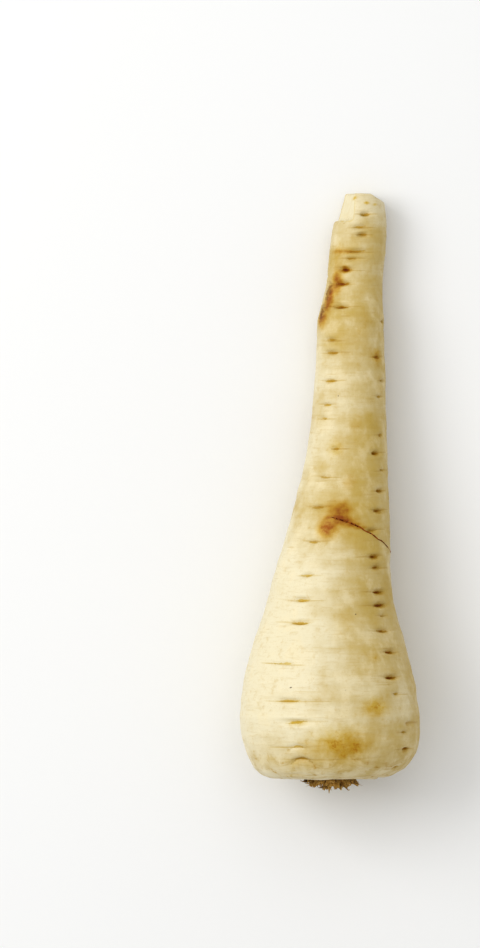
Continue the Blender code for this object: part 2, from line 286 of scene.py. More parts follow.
# Colours in thin layers, and what the skin keeps of the light in its darker places.
CREAM_PATCH = tone(238, 222, 178)
CREAM_FIBRE = tone(226, 210, 164)
STRAW_THREAD = tone(186, 154, 76)
STRAW_BLOT = tone(190, 157, 76)
STRAW_GRAIN = tone(184, 147, 70)
CUT_FIBRE = tone(216, 198, 150)
SPECK = tone(70, 46, 22)
DARK_CORK = tone(122, 88, 46)
LIGHT_CORK = tone(190, 156, 104)
DARK_ROOTLET = tone(86, 34, 6)
LIGHT_ROOTLET = tone(160, 92, 28)
KEPT_IN_PATCH = (0.86, 0.76, 0.52)
KEPT_IN_HEART = (0.93, 0.86, 0.62)
KEPT_IN_HEART_RIM = (0.82, 0.70, 0.42)
KEPT_IN_RUST_EDGE = (0.86, 0.68, 0.22)


def measure(name, description, default, unit="LENGTH"):
    """A measure that can't be negative. A length is in metres."""
    return bpy.props.FloatProperty(
        name=name, description=description, default=default, min=0, unit=unit, precision=5
    )


def tint(name, description, default):
    """A colour as a shader takes it."""
    return bpy.props.FloatVectorProperty(
        name=name, description=description, default=default, size=3, min=0, max=1, subtype="COLOR"
    )


class ParsnipRootSettings(bpy.types.PropertyGroup):
    """The relief and the colours of the root's skin."""

    lump_depth: measure("Lumps", "Depth of the broad lumps", 0.00045)
    wrinkle_depth: measure("Wrinkles", "Depth of the wrinkles round the root", 0.00024)
    scar_depth: measure("Scars", "Depth of the dip at a scar", 0.0013)
    slit_depth: measure("Slits", "Depth of the slit in a scar's middle", 0.00055)
    crease_depth: measure("Creases", "Depth of the fine creases", 0.00016)
    pale: tint("Pale skin", "The palest part of the skin", tone(228, 219, 188))
    # This colour is also painted as shade on the side towards +X.
    ochre_and_shade: tint("Ochre skin", "The darker, yellower part of the skin", tone(192, 166, 88))
    halo: tint("Halo", "Light kept round a scar", (0.87, 0.71, 0.18))
    crease: tint("Creases", "Light kept in a crease", (0.72, 0.56, 0.17))
    stain: tint("Stain", "Light kept in an orange stain", (0.76, 0.52, 0.03))
    rust: tint("Rust", "Light kept in a dark rusty stain", (0.58, 0.26, 0.01))
    scar: tint("Scar", "Light kept in the slit of a scar", (0.74, 0.56, 0.02))
    core: tint("Core", "Light kept in a slit's dark middle", (0.64, 0.41, 0.01))
    soil: tint("Soil", "Soil left on the skin", tone(112, 72, 34))
    flesh: tint("Flesh", "Cut flesh at the tip", tone(228, 218, 184))


class ParsnipTuftSettings(bpy.types.PropertyGroup):
    """The sizes and colours of the dried leaf bases."""

    fibre_radius: measure("Fibre radius", "Radius of a frayed fibre at its root", 0.00013)
    fibre_length: measure("Fibre length", "Length of the longest frayed fibres", 0.0022)
    pale: tint("Pale straw", "The palest dried strips", tone(222, 186, 108))
    brown: tint("Brown", "The middle brown of the strips", tone(174, 128, 50))
    # Painted shade: the dark brown stands for the shade in the gaps and at the feet of the sheaths.
    dark: tint("Dark brown", "The gaps and the torn ends", tone(58, 34, 10))


class ParsnipStageSettings(bpy.types.PropertyGroup):
    """The floor, the light and the camera."""

    camera_height: measure("Camera height", "Height of the camera above the floor", 3)
    floor: tint("Floor", "Colour of the plain floor", (0.86, 0.87, 0.88))
    key_power: measure("Key light", "Power of the soft light on the left", 7.2, "POWER")
    fill_strength: measure("Fill light", "Strength of the even light from all round", 0.56, "NONE")


class Socket:
    """A shader socket that can stand in a sum. Each operator adds its Math node."""

    def __init__(self, shader, socket):
        self.shader = shader
        self.socket = socket

    def __add__(self, other):
        return self.shader.math("ADD", self, other)

    def __sub__(self, other):
        return self.shader.math("SUBTRACT", self, other)

    def __rsub__(self, other):
        return self.shader.math("SUBTRACT", other, self)

    def __mul__(self, other):
        return self.shader.math("MULTIPLY", self, other)

    __radd__ = __add__
    __rmul__ = __mul__

    def smooth(self, low, high):
        """0 below low, 1 above high, with a smooth step between them."""
        inputs = {"Value": self, "From Min": low, "From Max": high}
        return self.shader.node("ShaderNodeMapRange", {"interpolation_type": "SMOOTHSTEP"}, inputs)


class Shader:
    """A new material, whose nodes come from Python expressions over a first colour."""

    def __init__(self, name, colour):
        self.material = bpy.data.materials.new(name)
        self.material.use_nodes = True
        self.tree = self.material.node_tree
        self.surface = self.tree.nodes["Principled BSDF"]
        self.colour = colour

    def feed(self, socket, value):
        """Links a Socket to a node's input, or sets the input to a value."""
        if isinstance(value, Socket):
            self.tree.links.new(value.socket, socket)
        elif socket.type == "RGBA":
            socket.default_value = (*value, 1)
        else:
            socket.default_value = value

    def node(self, kind, settings=None, inputs=None, output=0):
        """Adds a node: its settings first, then its inputs. Returns one of its outputs."""
        made = self.tree.nodes.new(kind)
        for name, value in (settings or {}).items():
            setattr(made, name, value)
        for name, value in (inputs or {}).items():
            self.feed(made.inputs[name], value)
        return Socket(self, made.outputs[output])

    def math(self, operation, *values):
        return self.node("ShaderNodeMath", {"operation": operation}, dict(enumerate(values)))

    def mix(self, factor, first, second, way="MIX"):
        """A colour between two, or with MULTIPLY the first seen through the second."""
        settings = {"data_type": "RGBA", "blend_type": way}
        return self.node("ShaderNodeMix", settings, {0: factor, 6: first, 7: second}, output=2)

    def cover(self, share, colour):
        """Lays a colour over what is there, by a share from 0 to 1."""
        self.colour = self.mix(share, self.colour, colour)

    def stain(self, share, kept):
        """Darkens what is there, as a stain does, down to what is kept of its light."""
        self.colour = self.mix(share, self.colour, kept, "MULTIPLY")

    def attribute(self, name):
        """A value that the mesh holds at each vertex."""
        return self.node("ShaderNodeAttribute", {"attribute_name": name}, output="Fac")

    def noise(self, size, detail, roughness, stretch=(1, 1, 1), place=None):
        """Cloudy noise from 0 to 1. Its lumps are about size millimetres, over the stretch of each axis."""
        if place is None:
            inputs = {0: self.node("ShaderNodeTexCoord", output="Object"), 1: [part / MM for part in stretch]}
            place = self.node("ShaderNodeVectorMath", {"operation": "MULTIPLY"}, inputs)
        inputs = {"Vector": place, "Scale": 1 / size, "Detail": detail, "Roughness": roughness}
        return self.node("ShaderNodeTexNoise", {}, inputs)

    def dress(self, inputs):
        """Feeds the colour and other inputs to the surface."""
        for name, value in {"Base Color": self.colour, **inputs}.items():
            self.feed(self.surface.inputs[name], value)

    def bump(self, height, distance, strength):
        """Connects a Bump node to the surface. The distance is in millimetres."""
        inputs = {"Height": height, "Distance": distance * MM, "Strength": strength}
        self.feed(self.surface.inputs["Normal"], self.node("ShaderNodeBump", {}, inputs))


def curve_through(points):
    """A smooth curve through (along, value) points, as a function of the distance along."""
    places, values = zip(*points)
    slopes = np.gradient(values, places)

    def read(along):
        i = min(max(bisect.bisect_right(places, along) - 1, 0), len(places) - 2)
        gap = places[i + 1] - places[i]
        t = min(max((along - places[i]) / gap, 0), 1)
        start = values[i] * (1 + 2 * t) + slopes[i] * gap * t
        end = values[i + 1] * (3 - 2 * t) - slopes[i + 1] * gap * (1 - t)
        return start * (1 - t) ** 2 + end * t * t

    return read


def path_through(points):
    """A smooth path through points, as a function: 0 is at the first, 1 at the second and so on."""
    curves = [curve_through(list(enumerate(values))) for values in zip(*points)]
    return lambda step: [curve(step) for curve in curves]


half_width_at = curve_through(HALF_WIDTHS)
sideways_at = curve_through(SIDEWAYS)
underside_at = curve_through(UNDERSIDE)


def middle_at(along):
    """The middle of the root's section, in millimetres."""
    up = underside_at(max(along, BELLY_ALONG)) + half_width_at(along) * ROUNDNESS
    return Vector((sideways_at(along), along, up))


def coarse_crown():
    """(along, share) of the solid's crown: the hollow's floor, wall and lip, then the shoulder."""
    rings = [
        (HOLLOW_DEPTH, 0), (HOLLOW_DEPTH, 0.16), (HOLLOW_DEPTH - 0.2, 0.27), (HOLLOW_DEPTH - 1.2, 0.325),
        (HOLLOW_DEPTH * 0.5, HOLLOW_SHARE - 0.015), (1.5, HOLLOW_SHARE), (CROWN_ALONG, HOLLOW_SHARE + 0.03),
        (CROWN_ALONG - LIP_HEIGHT, HOLLOW_SHARE + 0.09), (CROWN_ALONG - LIP_HEIGHT, LIP_SHARE),
    ]
    for i in range(SHOULDER_STEPS):
        turn = 0.5 * pi * i / SHOULDER_STEPS
        grown = sin(turn) ** (2 / SHOULDER_FULLNESS)
        along = BELLY_ALONG - (BELLY_ALONG - CROWN_ALONG) * cos(turn) ** (2 / SHOULDER_FULLNESS)
        rings.append((along, FACE_SHARE + (1 - FACE_SHARE) * grown))
    return rings


def root_profile():
    """(along, share) of every ring of the fine mesh, from the hollow to the cut end."""
    coarse = [*coarse_crown(), (BELLY_ALONG, 1)]
    path = path_through([coarse[0], *coarse, coarse[-1]])
    steps = SHOULDER_PARTS * (len(coarse) - 1)
    fine = [path(1 + i / SHOULDER_PARTS) for i in range(steps)]
    fine += [(along, 1) for along in np.linspace(BELLY_ALONG, TIP_ALONG - CUT_ROUNDING, BODY_RINGS + 1)]
    fine += [(TIP_ALONG - 0.35, 0.97), (TIP_ALONG - 0.05, 0.92)]
    fine += [(TIP_ALONG, share) for share in np.linspace(CUT_SHARE, 0, TIP_RINGS + 1)]
    return np.array(fine)


def scars():
    """(along, angle, width, strength) of every lateral-root scar, in four rows round the root."""
    draw = random.Random(SEED).uniform
    found = [*LEFT_SCARS, *RIGHT_SCARS]
    for row_angle in ROW_ANGLES:
        along = ROW_START
        while along < TIP_ALONG - ROW_START:
            angle = row_angle + draw(-ROW_WANDER, ROW_WANDER)
            found.append((along, angle, draw(4, 9), draw(0.3, 1)))
            along += ROW_GAP * draw(0.6, 1.4)
    return found


def creases():
    """(along, angle, width, strength) of the creases: two by each scar, and many between."""
    draw = random.Random(SEED + 1).uniform
    found = []
    for along, angle, width, strength in scars():
        found.append((along + draw(-0.3, 0.3), angle + draw(-8, 8), width * 2.6, 0.9))
        along += draw(0.6, 1.4)
        found.append((along, angle + draw(-8, 8), width * 1.6, 0.5 * strength))
    for _ in range(CREASE_COUNT):
        along = draw(1.5, TIP_ALONG - 2)
        width = draw(0.12, 0.55) * half_width_at(along)
        found.append((along, draw(0, 360), width, draw(0.15, 0.8) ** 1.5))
    return found


def noise_field(points, size, seed=0, octaves=1):
    """Noise from -1 to 1 at each of an array of points in millimetres."""
    flat = points.reshape(-1, 3) / size + seed
    if octaves == 1:
        values = [noise.noise(Vector(point)) for point in flat]
    else:
        values = [noise.fractal(Vector(point), 0.6, 2, octaves) for point in flat]
    return np.array(values).reshape(points.shape[:-1])


def all_round(values):
    """A value for each ring, repeated at each of its segments."""
    return np.repeat(values[:, None], SEGMENTS, 1)


class RootSurface:
    """The root's surface as arrays: a row for each ring and a column for each segment."""

    def __init__(self, settings):
        self.settings = settings
        self.along, self.share = root_profile().T
        self.angle = np.arange(SEGMENTS) * 360 / SEGMENTS
        turn = np.radians(self.angle)
        self.full = np.array([half_width_at(along) for along in self.along])
        middle = np.array([middle_at(along) for along in self.along])
        out = np.stack([np.sin(turn), turn * 0, np.cos(turn)], axis=-1)
        reach = self.full * self.share
        self.points = middle[:, None] + reach[:, None, None] * out * (1, 1, ROUNDNESS)
        self.skin_place = self.full[:, None, None] * out
        self.skin_place[..., 1] = self.along[:, None]
        self.masks = {}

    def off(self, angle):
        """How far each segment is from an angle, in millimetres round the root at each ring."""
        turned = (self.angle - angle + 180) % 360 - 180
        return np.radians(turned)[None, :] * self.full[:, None]

    def rise(self, along, angle, slope, bow):
        """How far each point is, along the root, from a line across it that slopes and arches."""
        across = self.off(angle)
        return (self.along - along)[:, None] - slope * across + bow * across * across

    def spot(self, along, angle, half_length, half_width):
        """A soft round mark, 1 in its middle."""
        rise = (self.along - along)[:, None] / half_length
        across = self.off(angle) / half_width
        return np.exp(-rise * rise - across * across)

    def slit(self, along, angle, width, half_height, slope, bow=0):
        """A lens-shaped slit across the root, 1 along its middle and pointed at both ends."""
        across = self.off(angle) / (0.5 * width)
        lens = np.sqrt(np.clip(1 - across * across, 0, 1))
        rise = self.rise(along, angle, slope, bow) / (half_height * np.maximum(lens, 0.05))
        return np.exp(-rise * rise) * np.sqrt(lens)

    def lens(self, along, angle, width, half_height, slope, bow):
        """1 in the middle of a lens across the root, 0 on its edge and -1 well outside."""
        across = self.off(angle) / (0.5 * width)
        rise = self.rise(along, angle, slope, bow) / half_height
        return np.maximum(1 - np.sqrt(across * across + rise * rise), -1)

    def mark(self, name, mask):
        """Adds to a mask, which keeps the most at each point."""
        self.masks[name] = np.maximum(self.masks.get(name, mask), mask)

    def relief(self):
        """How far the skin stands out of the plain form. It also masks the scars and creases."""
        settings = self.settings
        height = settings.lump_depth / MM * noise_field(self.skin_place, LUMP_LENGTH)
        height += settings.wrinkle_depth / MM * noise_field(self.skin_place * WRINKLE_STRETCH, 1)
        height += RIPPLE_DEPTH * noise_field(self.skin_place * RIPPLE_STRETCH, 1, seed=20, octaves=3)
        draw = random.Random(SEED + 2).uniform
        for along, angle, width, strength in scars():
            on_left = (along, angle, width, strength) in LEFT_SCARS
            bow = SHOULDER_BOW if on_left and along < SHOULDER_BOW_END else 0
            rise = self.rise(along, angle, 0, bow) / GROOVE_REACH
            across = self.off(angle) / (0.5 * width)
            dip = (1 - 0.8 * rise * rise) * np.exp(-rise * rise - across * across)
            height -= settings.scar_depth / MM * strength * dip
            slope = draw(-0.05, 0.05)
            thick = SLIT_REACH * draw(0.8, 1.3) * (0.7 + 0.5 * strength)
            slit = self.slit(along, angle, width * 0.95, thick, slope, bow)
            height -= settings.slit_depth / MM * strength * slit
            lens = self.lens(along, angle, width * 1.05, 0.3 + 0.26 * strength, slope, bow)
            self.mark("scar", lens * (0.5 + 0.5 * strength))
            middle = angle + draw(-2.5, 2.5)
            shade = np.interp(along, *zip(*(LEFT_ROW_SHADES if on_left else OTHER_ROW_SHADES)))
            heart = self.spot(along + 0.1, middle, CORE_REACH, width * 0.36)
            self.mark("core", shade * strength * heart)
            ring = self.spot(along - 0.3, angle, HALO_REACH, width * 0.5)
            self.mark("halo", strength * (0.4 + 0.6 * shade) * ring)
        for along, angle, width, strength in creases():
            crease = self.slit(along, angle, width, CREASE_REACH, draw(-0.04, 0.04))
            self.mark("crease", strength * crease)
        height -= settings.crease_depth / MM * self.masks["crease"]
        height[self.share < FACE_SHARE] = 0
        return height

    def mark_stains(self):
        """Masks of the stains, rust, soil and specks, and of the yellower skin with its painted light and
        shade.
        """
        for name, marks in MARKS.items():
            for *place, strength in marks:
                self.mark(name, strength * self.spot(*place))
        ochre_and_shade = np.interp(self.along, *zip(*OCHRE_AND_SHADE_ALONG))
        # Painted light and shade: more ochre towards +X, away from the key light, and paler towards -X.
        side = np.interp(self.along, *zip(*SIDE_LIGHT_AND_SHADE)) * self.share
        shaded = ochre_and_shade[:, None] + side[:, None] * np.sin(np.radians(self.angle))
        self.masks["ochre_and_shade"] = np.minimum(shaded, np.maximum(ochre_and_shade, MOST_OCHRE_WITH_SHADE)[:, None])

    def crown_band(self, shares, values=(0, 1, 1, 0)):
        """A value that follows the share of the radius, on the crown only."""
        return all_round(np.interp(self.share, shares, values) * (self.along < BELLY_ALONG))

    def push(self, height):
        """Moves the surface outwards by a height at each point."""
        round_it = np.roll(self.points, -1, 1) - np.roll(self.points, 1, 1)
        out = np.cross(round_it, np.gradient(self.points, axis=0))
        lengths = np.linalg.norm(out, axis=-1, keepdims=True)
        self.points += out / np.maximum(lengths, 1e-9) * height[..., None]

    def shape_crown(self):
        """Waves the hollow's lip, roughens the hollow and lays growth rings on the face."""
        lip = self.crown_band(LIP_SHARES)
        self.points[..., 1] += LIP_WAVE * lip * np.cos(2 * np.radians(self.angle))
        inside = self.crown_band(WALL_SHARES, (1, 1, 1, 0))
        rough = noise_field(self.points * (1, 0.35, 1), 1.6, seed=5, octaves=3)
        lobes = noise_field(self.points, 4.5, seed=9)
        self.push(inside * (HOLLOW_ROUGHNESS * rough - SETBACK) + LIP_LOBES * lip * lobes)
        face = self.crown_band(FACE_SHARES)
        reach = (self.share * self.full)[:, None] + RING_WANDER * noise_field(self.points, 9, seed=13)
        rings = noise_field(reach[..., None] * (1, 0, 0), RING_GAP, seed=15)
        waves = noise_field(self.points, 5, seed=17)
        self.push(face * (FACE_WAVES * waves + FACE_RINGS * rings))
        self.masks.update(face=face, reach=reach, hollow=self.crown_band(CORK_SHARES, (1, 0.9, 0.6, 0)))

    def cut_back(self, place, outward, after, roughness):
        """Moves what stands outside a plane back onto it, and marks it as cut flesh."""
        ragged = after + 0.35 * noise_field(self.points * (1, 0, 1), 2, seed=7, octaves=2)
        ledge = np.clip((self.along[:, None] - ragged) / CUT_LEDGE, 0, 1)
        over = np.maximum((self.points - np.array(place)) @ np.array(outward), 0) * ledge
        cut = over > 0
        rough = roughness * noise_field(self.points * (1, 0.5, 1), 0.9, seed=3, octaves=3)
        self.points -= (cut * (over - np.minimum(rough, 0)))[..., None] * np.array(outward)
        self.mark("flesh", np.clip((over + 0.3 * rough) / 0.6, 0, 1) * cut)

    def cut_tip(self):
        """The square cut, the slice beside it and the broken corner."""
        cap = np.interp(self.share, (CUT_SHARE, CUT_EDGE_SHARE), (1, 0)) * (self.along > BELLY_ALONG)
        self.masks["flesh"] = all_round(cap)
        self.masks["ring"] = all_round(np.where(cap > 0, self.share / CUT_SHARE, 1))
        rough = noise_field(self.points, 1.1, seed=1, octaves=3)
        self.points[..., 1] += np.minimum(0, CUT_ROUGHNESS * rough - SETBACK) * cap[:, None]
        turned = Matrix.Rotation(radians(SLIVER_ANGLE), 3, "Y")
        tilted = Matrix.Rotation(-radians(SLIVER_TILT), 3, "X")
        start = middle_at(SLIVER_ALONG) + turned @ Vector((0, 0, SLIVER_REACH))
        self.cut_back(start, turned @ tilted @ Vector((0, 0, 1)), SLIVER_ALONG, SLIVER_ROUGHNESS)
        corner = middle_at(TIP_ALONG) + Vector((CORNER_SIDEWAYS, 0, 0))
        outward = Matrix.Rotation(-radians(CORNER_ANGLE), 3, "Z") @ Vector((0, 1, 0))
        self.cut_back(corner, outward, TIP_ALONG - CORNER_LENGTH, CORNER_ROUGHNESS)

    def build(self):
        """Shapes the surface and puts it where its solid lies."""
        self.push(self.relief())
        self.mark_stains()
        self.shape_crown()
        self.cut_tip()
        self.points[..., 2] = np.maximum(self.points[..., 2], 0)
        self.points *= MM
        self.points += solid_shift()

    def outward_at(self, along, angle, lift):
        """A point over the body's finished skin, lifted by some millimetres, in metres."""
        row = self.points[np.argmin(np.abs(self.along - along))]
        segment, part = divmod((angle % 360) / 360 * SEGMENTS, 1)
        on_skin = row[int(segment)] * (1 - part) + row[(int(segment) + 1) % SEGMENTS] * part
        turn = radians(angle)
        return Vector(on_skin) + Vector((sin(turn), 0, cos(turn))) * lift * MM


def solid_shift():
    """What moves the root's own coordinates to where its solid lies, in metres."""
    low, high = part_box("parsnip_root")
    return np.array(((low.x + high.x) / 2, high.y - TIP_ALONG * MM, low.z))


def add_object(name, data):
    """An object in the scene with its mesh, light or camera."""
    made = bpy.data.objects.new(name, data)
    bpy.context.scene.collection.objects.link(made)
    return made


def to_mesh(name, shape):
    """Turns a bmesh into a named mesh."""
    mesh = bpy.data.meshes.new(name)
    shape.to_mesh(mesh)
    shape.free()
    return mesh


def to_piece(name, mesh, material, node):
    """A piece on the root body, in place of a solid's node."""
    mesh.materials.append(material)
    mesh.shade_smooth()
    piece = add_object(name, mesh)
    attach(piece, "root")
    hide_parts(node)


def grid_mesh(name, surface):
    """One closed mesh from the surface's rings, with its masks as attributes."""
    rows = surface.points
    vertices = np.vstack([rows[0].mean(0), rows[1:-1].reshape(-1, 3), rows[-1].mean(0)])
    last = len(vertices) - 1
    faces = []
    for i in range(SEGMENTS):
        beside = (i + 1) % SEGMENTS
        faces.append((0, 1 + i, 1 + beside))
        faces.append((last, last - SEGMENTS + beside, last - SEGMENTS + i))
        for start in range(1, last - SEGMENTS, SEGMENTS):
            after = start + SEGMENTS
            faces.append((start + i, after + i, after + beside, start + beside))
    mesh = bpy.data.meshes.new(name)
    mesh.from_pydata(vertices.tolist(), [], faces)
    mesh.update()
    for mask_name, mask in surface.masks.items():
        values = np.hstack([mask[0].mean(), mask[1:-1].ravel(), mask[-1].mean()])
        mesh.attributes.new(mask_name, "FLOAT", "POINT").data.foreach_set("value", values.astype(np.float32))
    return mesh


def turns(sides):
    """The angles of the corners of a ring."""
    return [2 * pi * k / sides for k in range(sides)]


def bridge(shape, rings):
    """Joins each ring of a bmesh to the next with faces."""
    for ring, after in zip(rings, rings[1:]):
        for k in range(len(ring)):
            shape.faces.new((ring[k - 1], ring[k], after[k], after[k - 1]))


def add_tube(shape, points, radii):
    """Adds a closed tube through points, with a radius at each, to a bmesh."""
    rings = []
    for i, (point, radius) in enumerate(zip(points, radii)):
        ahead = (points[min(i + 1, len(points) - 1)] - points[max(i - 1, 0)]).normalized()
        side = ahead.orthogonal().normalized() if not rings else (side - ahead * side.dot(ahead)).normalized()
        other = ahead.cross(side)
        rings.append([
            shape.verts.new(point + (side * cos(turn) + other * sin(turn)) * radius)
            for turn in turns(STRAND_SIDES)
        ])
    bridge(shape, rings)
    shape.faces.new(reversed(rings[0]))
    shape.faces.new(rings[-1])


class SkinShader(Shader):
    """The root's skin, in layers of colour that share their noises and masks."""

    def __init__(self, settings):
        super().__init__("parsnip_skin", settings.pale)
        self.settings = settings
        self.threads = self.noise(0.8, 4, 0.65, (0.12, 1, 0.12))
        self.blots = self.noise(2.2, 4, 0.6)
        self.grain = self.noise(0.5, 2, 0.6)
        self.fibres = self.noise(1.4, 3, 0.6, (1, 0.18, 1))
        self.patches = self.noise(7, 4, 0.6, (1, 0.7, 1))
        self.flecks = self.noise(1.5, 4, 0.65, (1, 1.4, 1))
        across = {"X": self.attribute("reach"), "Y": self.patches * 3}
        self.rings = self.noise(0.9, 4, 0.6, place=self.node("ShaderNodeCombineXYZ", {}, across))
        self.face = self.attribute("face")
        self.flesh = self.attribute("flesh")
        ragged = self.attribute("scar") + (self.flecks - 0.5) * 1.5 + (self.threads - 0.5) * 0.7
        self.scar = ragged.smooth(0, 0.32)
        self.soil = (self.attribute("soil") * (self.flecks * 1.3 + 0.1)).smooth(0.35, 0.8)
        self.hollow = (self.attribute("hollow") + (self.blots - 0.5) * 0.6).smooth(0.3, 0.62)

    def add_clouds(self):
        """Ochre clouds and bands on the cream skin, with the painted light and shade round the root, and
        threads, blots and grain.
        """
        clouds = self.noise(16, 3, 0.55) * 0.7 + self.noise(5, 3, 0.6, (0.12, 1, 0.12)) * 0.4
        # The mask adds painted light and shade round the root to the skin's own ochre.
        ochre_and_shade = clouds + self.patches * 0.5 + self.attribute("ochre_and_shade") * 0.6
        self.cover(ochre_and_shade.smooth(0.7, 1.45), self.settings.ochre_and_shade)
        self.cover(self.patches.smooth(0.5, 0.34) * 0.22, CREAM_PATCH)
        self.stain((self.patches * 0.6 + self.blots * 0.4).smooth(0.5, 0.7) * 0.22, KEPT_IN_PATCH)
        self.cover(self.threads.smooth(0.5, 0.8) * 0.35, STRAW_THREAD)
        self.cover(self.blots.smooth(0.54, 0.74) * 0.25, STRAW_BLOT)
        self.cover(self.grain.smooth(0.56, 0.8) * 0.3, STRAW_GRAIN)
        self.cover(self.fibres.smooth(0.55, 0.8) * 0.12, CREAM_FIBRE)

    def add_growth_rings(self):
        """Rings, pale patches and small stains on the crown's face."""
        patches = self.patches + self.rings * 0.4
        self.stain(self.rings.smooth(0.5, 0.72) * self.face * 0.7, self.settings.crease)
        self.cover(patches.smooth(0.85, 0.5) * self.face * 0.35, self.settings.pale)
        self.stain((self.blots + self.rings * 0.3).smooth(0.74, 0.9) * self.face * 0.8, self.settings.stain)

    def add_cut(self):
        """The cut flesh: fibrous, with a darker heart, the heart's rim and a dry edge."""
        fibrous = (self.fibres * 0.6 + self.blots * 0.4).smooth(0.42, 0.7) * 0.5
        ring = self.attribute("ring") + (self.blots - 0.5) * 0.12
        cut = self.mix(fibrous, self.settings.flesh, CUT_FIBRE)
        cut = self.mix(ring.smooth(0.56, 0.48) * 0.5, cut, KEPT_IN_HEART, "MULTIPLY")
        rim = ring.smooth(0.44, 0.52) * ring.smooth(0.62, 0.54)
        cut = self.mix(rim * 0.6, cut, KEPT_IN_HEART_RIM, "MULTIPLY")
        self.cover(self.flesh, cut)
        dry_edge = self.flesh * (1 - self.flesh) * 4
        self.stain(dry_edge * (0.3 + self.grain) * 0.6, self.settings.halo)

    def add_marks(self):
        """Creases, stains, rust, soil, scars and specks, and the cork of the hollow."""
        settings = self.settings
        crease = self.attribute("crease") * (0.55 + self.threads)
        halo = self.attribute("halo")
        stained = self.attribute("stain")
        rust = self.attribute("rust")
        stain_flecks = stained * 0.35 + self.flecks * 0.7 + self.grain * 0.25
        self.stain(crease.smooth(0.1, 1) * 0.6, settings.crease)
        self.stain((halo * (0.4 + self.blots * 1.2)).smooth(0.1, 1) * 0.85, settings.halo)
        self.stain((stained * (self.patches + self.blots - 0.3)).smooth(0, 0.7) * 0.95, settings.halo)
        self.stain(stain_flecks.smooth(0.7, 0.96) * stained, settings.stain)
        self.stain((rust * (self.blots + 0.5)).smooth(0, 0.6), KEPT_IN_RUST_EDGE)
        self.stain((rust * (self.blots * 0.9 + self.flecks * 0.5)).smooth(0.2, 0.8), settings.rust)
        self.cover(self.soil * 0.8, settings.soil)
        self.stain(self.scar * (halo * 0.6 + 0.5), settings.scar)
        self.stain((self.attribute("core") * (0.35 + self.flecks * 1.3)).smooth(0.3, 0.72), settings.core)
        self.cover(self.attribute("speck").smooth(0.3, 0.7), SPECK)
        cork = self.mix(self.blots.smooth(0.38, 0.62), DARK_CORK, LIGHT_CORK)
        self.cover(self.hollow, cork)

    def add_sheen(self):
        """A satin sheen, duller at the scars, soil and cork, and a fine relief."""
        rough = self.blots.smooth(0.3, 0.8) * 0.14 + 0.4 + self.scar * 0.25 + self.soil * 0.25
        self.dress({
            "Roughness": rough + self.hollow * 0.3 - self.flesh * 0.06,
            "Specular IOR Level": 0.22,
            "Coat Weight": 0.05,
            "Coat Roughness": 0.35,
        })
        pores = self.noise(0.28, 2, 0.6, (1, 1.8, 1))
        height = self.threads * 0.55 + self.grain * 0.3 + pores * 0.14 + self.blots * 0.35
        self.bump(height + self.rings * self.face * 0.5 - self.scar * 0.4, 0.22, 0.8)

    def build(self):
        """Lays every layer on the plain skin, and returns the material."""
        self.add_clouds()
        self.add_growth_rings()
        self.add_cut()
        self.add_marks()
        self.add_sheen()
        return self.material


def rootlet_material():
    """A dark, dry hair root."""
    shader = Shader("dried_rootlet", DARK_ROOTLET)
    specks = shader.noise(1, 3, 0.6)
    shader.cover(specks.smooth(0.42, 0.6), LIGHT_ROOTLET)
    shader.dress({"Roughness": specks * 0.2 + 0.6, "Specular IOR Level": 0.1})
    return shader.material


def tuft_material(settings):
    """Dried, fibrous brown plant matter, with painted shade in its gaps and towards the foot of each sheath,
    and darker at its torn ends.
    """
    tuft = Shader("dried_leaf_base", settings.brown)
    strands = tuft.noise(0.5, 4, 0.65, (1, 0.14, 1))
    blots = tuft.noise(2.4, 3, 0.6)
    grain = tuft.noise(0.35, 2, 0.6)
    gap_shade = tuft.noise(1.5, 2, 0.5, (1, 0.4, 1))
    tuft.cover(strands.smooth(0.36, 0.64), settings.pale)
    tuft.cover(blots.smooth(0.45, 0.68) * 0.7, settings.brown)
    # Painted shade: dark streaks and grain of noise stand for the gaps between the strips.
    tuft.cover(gap_shade.smooth(0.52, 0.64) * 0.8, settings.dark)
    tuft.cover(grain.smooth(0.56, 0.7) * 0.6, settings.dark)
    # Painted shade from each vertex's level: darkest on the pad and at the foot of each sheath.
    tuft.cover((1 - tuft.attribute("level")).smooth(0.3, 0.9) * 0.85, settings.dark)
    tuft.dress({"Roughness": strands * 0.15 + 0.7, "Specular IOR Level": 0.3})
    tuft.bump(strands * 0.7 + grain * 0.3, 0.25, 0.9)
    return tuft.material


class PARSNIP_OT_root(bpy.types.Operator):
    """Builds the root's skin and the dried rootlet over their solid"""

    bl_idname = "parsnip.root"
    bl_label = "Root"

    def execute(self, context):
        settings = context.scene.parsnip_root
        surface = RootSurface(settings)
        surface.build()
        skin = grid_mesh("root_skin", surface)
        to_piece("root_skin", skin, SkinShader(settings).build(), "parsnip_root")
        shape = bmesh.new()
        route = [surface.outward_at(along, angle, ROOTLET_LIFT) for along, angle, _ in ROOTLET]
        radii = [ROOTLET_SWELLING * radius * MM for _, _, radius in ROOTLET]
        add_tube(shape, route, radii)
        rootlet = to_mesh("dried_rootlet", shape)
        to_piece("dried_rootlet", rootlet, rootlet_material(), "parsnip_root")
        return {"FINISHED"}


def facing_crown():
    """The matrix from the tuft's own space, whose +Z is out of the crown, to the scene."""
    place = Vector(solid_shift()) + (middle_at(HOLLOW_DEPTH) - Vector((0, PAD_GAP, 0))) * MM
    return Matrix.Translation(place) @ Matrix.Scale(MM, 4) @ Matrix.Rotation(radians(90), 4, "X")


